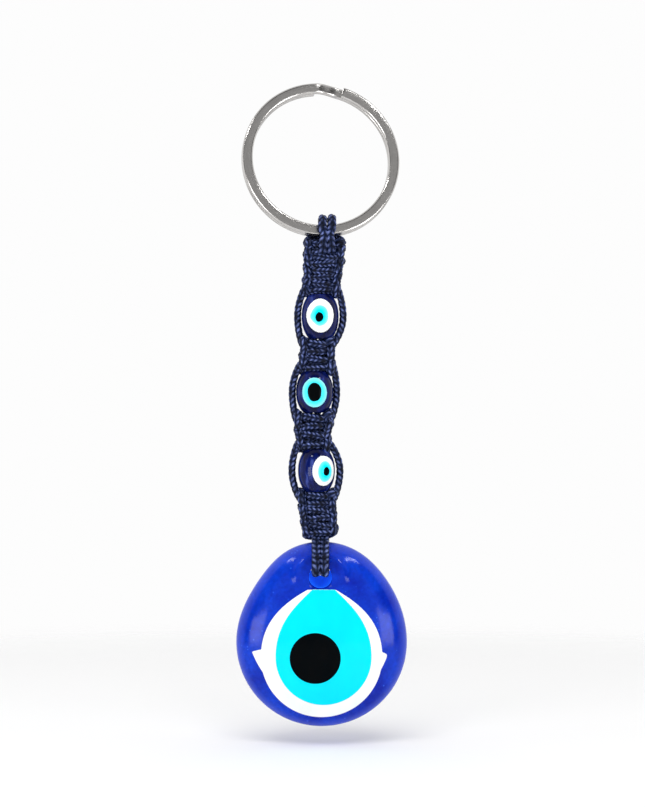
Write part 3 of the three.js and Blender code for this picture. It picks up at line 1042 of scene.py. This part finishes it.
def drop_outline(drop, tips=()):
    """The drop's outline, from its top left corner down the left side and round."""
    radius, half = drop["radius"], drop["top"]
    first_z, second_x, second_z = drop["shoulder"]
    left = bezier(
        (-half, DROP_TOP), (-second_x, second_z), (-radius, first_z), (-radius, DROP_CENTRE)
    )
    angle = np.linspace(math.pi, 2 * math.pi, ROUND_POINTS, endpoint=False)
    round_part = np.stack([radius * np.cos(angle), DROP_CENTRE + radius * np.sin(angle)], 1)
    right = left[::-1] * (-1, 1)
    across = np.linspace(half, -half, TOP_POINTS, endpoint=False)
    top = np.stack([across, np.full(TOP_POINTS, DROP_TOP)], 1)
    outline = np.vstack([left, round_part, [(radius, DROP_CENTRE)], right, top])
    for side, high, low, out in tips:
        z = outline[:, 1]
        share = np.clip((z - low) / (high - low), 0, 1)
        share = share * np.clip((high + TIP_TOP_SLOPE - z) / TIP_TOP_SLOPE, 0, 1)
        beside = outline[:, 0] * side > 0
        outline[:, 0] += side * out * share * beside
    return outline + (drop["x"], 0)


def reach_from_pupil(outline):
    """How far an outline is from the pupil's middle in each direction."""
    away = outline - (PUPIL_X, PUPIL_Z)
    angle = np.arctan2(away[:, 1], away[:, 0])
    distance = np.hypot(away[:, 0], away[:, 1])
    order = np.argsort(angle)
    return np.interp(DIRECTIONS, angle[order], distance[order], period=2 * math.pi)


def pinch(up, is_left):
    """Share of an oval's width: up is 0 at the widest line and 1 at the top."""
    narrowing = np.where(is_left, PINCH_LEFT, PINCH_RIGHT)
    return np.where(up > 0, 1 - narrowing * np.sin(math.pi * np.clip(up, 0, 1) ** 2), 1)


def rim_outline():
    t = angles_round(RIM_POINTS)
    up = np.sin(t)
    x = HALF_WIDTH * pinch(up, np.cos(t) < 0) * np.cos(t)
    return np.stack([x, up * np.where(up > 0, ABOVE, BELOW)], 1)


def lens_share(x, z):
    """0 at the middle of the lens and 1 at its rim."""
    up = z / np.where(z > 0, ABOVE, BELOW)
    return np.clip(np.hypot(x / (HALF_WIDTH * pinch(up, x < 0)), up), 0, 1)


def front_y(x, z):
    """The domed front, with a low ridge round the upper side of the hole."""
    dome = FRONT * (1 - lens_share(x, z) ** ROUNDNESS) ** (1 / ROUNDNESS)
    away = np.hypot(x - HOLE_X + PENDANT_X, z - HOLE_HEIGHT)
    above = np.clip((z - HOLE_HEIGHT + RIDGE_FADE) / RIDGE_FADE, 0, 1) ** 2
    inside = np.clip((1 - lens_share(x, z)) / RIDGE_RIM_FADE, 0, 1)
    ridge = RIDGE_HEIGHT * np.exp(-(((away - RIDGE_RADIUS) / RIDGE_WIDTH) ** 2)) * above * inside
    return -dome - ridge


def back_y(x, z):
    """The back, flat but for its rounded edge."""
    cosine = np.clip((lens_share(x, z) - BACK_FLAT) / (1 - BACK_FLAT), 0, 1)
    return BACK * np.sqrt(1 - cosine**2)


def ring(reach, surface, depth=0.0):
    """Points at a reach from the pupil's middle, on a surface or this far behind it."""
    place = OUTWARDS * reach[:, None] + (PUPIL_X, PUPIL_Z)
    y = surface(place[:, 0], place[:, 1]) + depth
    return np.stack([place[:, 0], y, place[:, 1]], 1)


def ring_piece(name, rings, first, last, slot):
    """A closed piece from rings, fanned to a point at each end."""
    points = np.vstack([*rings, [first], [last]])
    return make_piece(name, points, tube_faces(len(rings), PENDANT_AROUND), slot)


def inlay_band(name, inner, outer, slot):
    """Coloured glass between two outlines, from the front surface down to the pocket's floor."""
    inner, outer = inner + PIECE_GAP, outer - PIECE_GAP
    shares = np.linspace(0, 1, 7)
    band = [ring(inner + (outer - inner) * share, front_y) for share in shares]
    band += [ring(reach, front_y, POCKET_DEPTH - FLOOR_GAP) for reach in (outer, inner)]
    return make_piece(name, np.vstack(band), closed_faces(len(band), PENDANT_AROUND), slot)


def make_glass(white, rim):
    """The cobalt glass: a lens with a pocket for the eye, before its hole is cut."""
    front = [ring(white, front_y)]
    for share in 1 - np.linspace(1, 0, FRONT_RINGS)[1:] ** 1.7:
        front.append(ring(white + (rim - white) * share, front_y))
    shares = np.linspace(1, 0, BACK_RINGS)[1:-1] ** 0.5
    back = [ring(rim * share, back_y) for share in shares]
    floor = [ring(white * share, front_y, POCKET_DEPTH) for share in (0.35, 0.7, 1.0)]
    middle_front = (PUPIL_X, float(front_y(PUPIL_X, PUPIL_Z)) + POCKET_DEPTH, PUPIL_Z)
    middle_back = (PUPIL_X, BACK, PUPIL_Z)
    rings = floor + front + back
    return ring_piece("pendant_body", rings, middle_front, middle_back, "glass_cobalt")


def hole_cutter():
    """A slanting rod whose ends flare where it meets the glass."""
    front = -0.15
    back = (BACK - HOLE_FRONT_Y) / math.cos(HOLE_SLANT)
    mouth = front - 0.55
    profile = [(FRONT_FLARE, front - CUTTER_EXTRA), (FRONT_FLARE, mouth)]
    for n in range(FLARE_STEPS + 1):
        angle = n / FLARE_STEPS * math.pi / 2
        profile.append((FRONT_FLARE * (1 - math.sin(angle)), mouth + 1.1 * (1 - math.cos(angle))))
    for n in range(FLARE_STEPS + 1):
        angle = (1 - n / FLARE_STEPS) * math.pi / 2
        along = back + 0.2 - 0.8 * (1 - math.cos(angle))
        profile.append((BACK_FLARE * (1 - math.sin(angle)), along))
    profile.append((BACK_FLARE, back + CUTTER_EXTRA))
    turn = angles_round(CUTTER_SIDES)
    points = []
    for flare, along in profile:
        reach = HOLE_RADIUS + flare
        points += [(reach * math.cos(t), along, reach * math.sin(t)) for t in turn]
    points += [(0, profile[0][1], 0), (0, profile[-1][1], 0)]
    faces = tube_faces(len(profile), CUTTER_SIDES)
    piece = make_piece("hole_cutter", points, faces, "glass_cobalt")
    place = Matrix.Translation(Vector((HOLE_X - PENDANT_X, HOLE_FRONT_Y, HOLE_HEIGHT)) * MM)
    piece.data.transform(place @ Matrix.Rotation(HOLE_SLANT, 4, "X"))
    return piece


def cut_hole(glass):
    """Cuts the hole, and gives its wall a material of its own."""
    cutter = hole_cutter()
    cut = glass.modifiers.new("hole", "BOOLEAN")
    cut.operation = "DIFFERENCE"
    cut.solver = "EXACT"
    cut.object = cutter
    bpy.context.view_layer.update()
    evaluated = glass.evaluated_get(bpy.context.evaluated_depsgraph_get())
    solid = bpy.data.meshes.new_from_object(evaluated)
    glass.modifiers.clear()
    old = glass.data
    glass.data = solid
    bpy.data.meshes.remove(old)
    bpy.data.objects.remove(cutter)
    solid.name = "pendant_body"
    mark_glass(solid)
    solid.shade_smooth()
    solid.materials.append(materials["glass_bore"])
    inside = [mark.value > 0.5 for mark in solid.attributes["bore"].data]
    for face in solid.polygons:
        if all(inside[corner] for corner in face.vertices):
            face.material_index = 1
    sharpen(glass, CRISP_GLASS_EDGE)


def mark_glass(mesh):
    """Marks the rim, where the glass gets its painted reflection, and the hole's wall."""
    place = np.array([v.co for v in mesh.vertices]) / MM
    share = lens_share(place[:, 0], place[:, 2])
    rim = np.clip((share - RIM_FROM) / RIM_WIDTH, 0, 1) ** 1.3
    axis = np.array([0, math.cos(HOLE_SLANT), math.sin(HOLE_SLANT)])
    away = place - (HOLE_X - PENDANT_X, HOLE_FRONT_Y, HOLE_HEIGHT)
    distance = np.linalg.norm(away - (away @ axis)[:, None] * axis, axis=1)
    set_attribute(mesh, "rim", rim)
    set_attribute(mesh, "bore", distance < HOLE_RADIUS + BORE_MARGIN)


def make_pendant():
    """The cobalt glass and its three inlays, in place on their body."""
    inner = np.full(PENDANT_AROUND, PUPIL_RADIUS)
    middle = reach_from_pupil(drop_outline(TURQUOISE_DROP))
    outer = reach_from_pupil(drop_outline(WHITE_DROP, TIPS))
    glass = make_glass(outer, reach_from_pupil(rim_outline()))
    cut_hole(glass)
    white = inlay_band("pendant_white_drop", middle, outer, "glass_white")
    turquoise = inlay_band("pendant_turquoise_drop", inner, middle, "glass_turquoise")
    inner = inner - PIECE_GAP
    tops = [ring(inner * share, front_y) for share in np.linspace(0.15, 1, 7)]
    under = [ring(inner, front_y, POCKET_DEPTH - FLOOR_GAP)]
    y = float(front_y(PUPIL_X, PUPIL_Z))
    front, back = (PUPIL_X, y, PUPIL_Z), (PUPIL_X, y + POCKET_DEPTH - FLOOR_GAP, PUPIL_Z)
    pupil = ring_piece("pendant_pupil_disc", tops + under, front, back, "glass_black")
    replaced = ["pendant_glass", "pendant_white", "pendant_turquoise", "pendant_pupil"]
    for piece, node in zip([glass, white, turquoise, pupil], replaced):
        if piece is not glass:
            sharpen(piece, CRISP_INLAY_EDGE)
        piece.data.transform(Matrix.Translation(PENDANT_PLACE * MM))
        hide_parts(node)
        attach(piece, "pendant")


# ---- Stage ----

FLOOR_DROP = 3.5
FLOOR_RADIUS = 260
FLOOR_FADE = 110
FLOOR_COLOUR = (0.92, 0.92, 0.92, 1)
BACKDROP = 0.982
WORLD_STRENGTH = 1.02
# Brightness from in front (0) to behind (1), and from below (0) to above (1).
FRONT_TO_BACK = [(0.0, 0.42), (0.13, 0.46), (0.16, 0.03), (0.29, 0.03), (0.34, 1.0)]
LOW_TO_HIGH = [(0.0, 0.45), (0.28, 0.5), (0.47, 1.0), (0.6, 1.0), (0.85, 0.8)]
LIGHT_DISTANCE = 1000
SIDE_LIGHT_AZIMUTH = 43
SOFT_TOP_AZIMUTH = -6
# Each light's elevation in degrees, its width and height, and its power in watts.
SOFTBOX = (-5, (360, 520), 3.8)
SPARKLE = (48, (200, 100), 1.3)
SOFT_TOP = (52, (800, 600), 6.5)


def add_floor():
    """A pale round floor that fades out at its edge."""
    form = bmesh.new()
    bmesh.ops.create_circle(form, cap_ends=True, segments=96, radius=FLOOR_RADIUS * MM)
    mesh = bpy.data.meshes.new("floor")
    form.to_mesh(mesh)
    form.free()
    floor = add_object("floor", mesh)
    floor.location = (PENDANT_X * MM, STRAP_Y * MM, cad_box[0].z - FLOOR_DROP * MM)
    material, tree, shader = new_material(
        "floor", Base_Color=FLOOR_COLOUR, Roughness=0.9, Specular_IOR_Level=0.0
    )
    place = coordinates(tree, "Object")
    length = add_node(tree, "VectorMath", {0: place}, operation="LENGTH")
    inputs = {
        "Value": length.outputs["Value"],
        "From Min": (FLOOR_RADIUS - FLOOR_FADE) * MM,
        "From Max": FLOOR_RADIUS * MM * 0.99,
        "To Min": 1.0,
        "To Max": 0.0,
    }
    fade = add_node(tree, "MapRange", inputs, interpolation_type="SMOOTHSTEP")
    tree.links.new(fade.outputs["Result"], shader.inputs["Alpha"])
    mesh.materials.append(material)


def brightness(tree, direction, stops):
    """Greys over one component of a direction, which runs from -1 to 1."""
    share = add_node(tree, "MapRange", {"Value": direction, "From Min": -1.0}).outputs[0]
    return grey_ramp(tree, share, stops)


def add_world():
    """A soft studio, dimmer in front of the charm and brighter beside it, and white to look at."""
    world = bpy.data.worlds.new("studio")
    bpy.context.scene.world = world
    world.use_nodes = True
    tree = world.node_tree
    parts = add_node(tree, "SeparateXYZ", {0: coordinates(tree, "Generated")})
    from_front = brightness(tree, parts.outputs["Y"], FRONT_TO_BACK)
    from_below = brightness(tree, parts.outputs["Z"], LOW_TO_HIGH)
    studio = multiplied(tree, from_front, from_below)
    seen = add_node(tree, "LightPath").outputs["Is Camera Ray"]
    colour = mixed(tree, seen, studio, grey(BACKDROP / WORLD_STRENGTH))
    background = tree.nodes["Background"]
    tree.links.new(colour, background.inputs["Color"])
    background.inputs["Strength"].default_value = WORLD_STRENGTH


def add_light(name, azimuth, setting, target):
    """An area light: azimuth 0 is in front of the charm and 90 to its right."""
    elevation, size, power = setting
    data = bpy.data.lights.new(name, "AREA")
    data.shape = "RECTANGLE"
    data.size, data.size_y = size[0] * MM, size[1] * MM
    data.energy = power
    light = add_object(name, data)
    a, e = azimuth * DEGREE, elevation * DEGREE
    away = Vector((math.sin(a) * math.cos(e), -math.cos(a) * math.cos(e), math.sin(e)))
    light.location = Vector(target) * MM + away * LIGHT_DISTANCE * MM
    light.rotation_mode = "QUATERNION"
    light.rotation_quaternion = away.to_track_quat("Z", "Y")
    light.visible_camera = False
    return light


def add_lights():
    """Softboxes beside the camera, small sparkling lights, and a top light that isn't reflected."""
    pendant = (PENDANT_X, STRAP_Y, PENDANT_PLACE_Z + 3)
    middle = (0, STRAP_Y, -60)
    for side, name in SIDES:
        add_light(f"softbox_{name}", side * SIDE_LIGHT_AZIMUTH, SOFTBOX, pendant)
        sparkle = add_light(f"sparkle_{name}", side * SIDE_LIGHT_AZIMUTH, SPARKLE, pendant)
        sparkle.visible_diffuse = False
    soft_top = add_light("soft_top", SOFT_TOP_AZIMUTH, SOFT_TOP, middle)
    soft_top.visible_glossy = False


# ---- The scene ----

bpy.context.scene.view_settings.view_transform = "Standard"
add_camera()
materials = make_materials()
make_ring()
make_ring_loops()
for section_number in range(len(sections)):
    make_square_knots(section_number)
    make_core_cords(section_number)
for bead_number in range(BEAD_COUNT):
    make_side_cords(bead_number)
    make_bead(bead_number)
make_pendant_loops()
make_pendant()
add_floor()
add_world()
add_lights()
